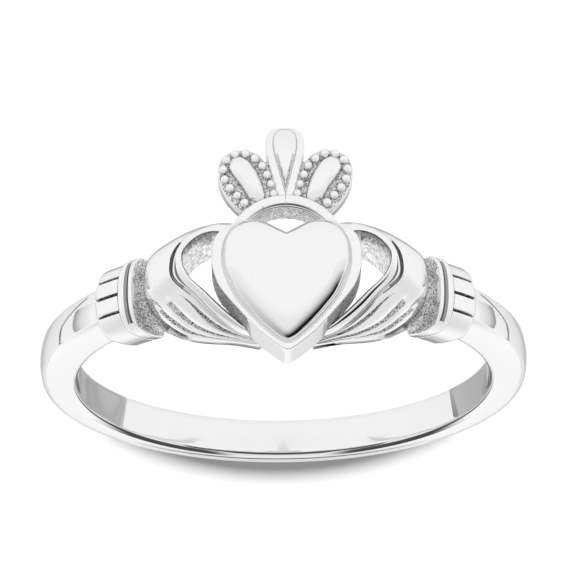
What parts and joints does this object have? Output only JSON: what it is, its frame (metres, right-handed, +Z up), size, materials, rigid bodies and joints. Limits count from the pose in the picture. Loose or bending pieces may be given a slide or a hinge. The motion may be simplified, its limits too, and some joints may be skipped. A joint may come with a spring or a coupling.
{
  "type": "claddagh ring",
  "caption": "Finger ring whose cuffed hands hold a crowned raised heart on a plain tapered band, cast in one piece.",
  "frame": {"origin": "middle of the finger hole, on its axis", "axes": "the ring lies on its side: -Y to the head with the heart, +Z up from the surface, X across the hands; the finger hole's axis leans 15.7 degrees from +Z towards +Y"},
  "size_m": [0.0204, 0.0215, 0.0098],
  "materials": {
    "white_metal": "mirror polished white precious metal, with a fine sanded ground in the recesses"
  },
  "bodies": {
    "root": {"claddagh_ring": "white_metal"}
  },
  "joints": []
}
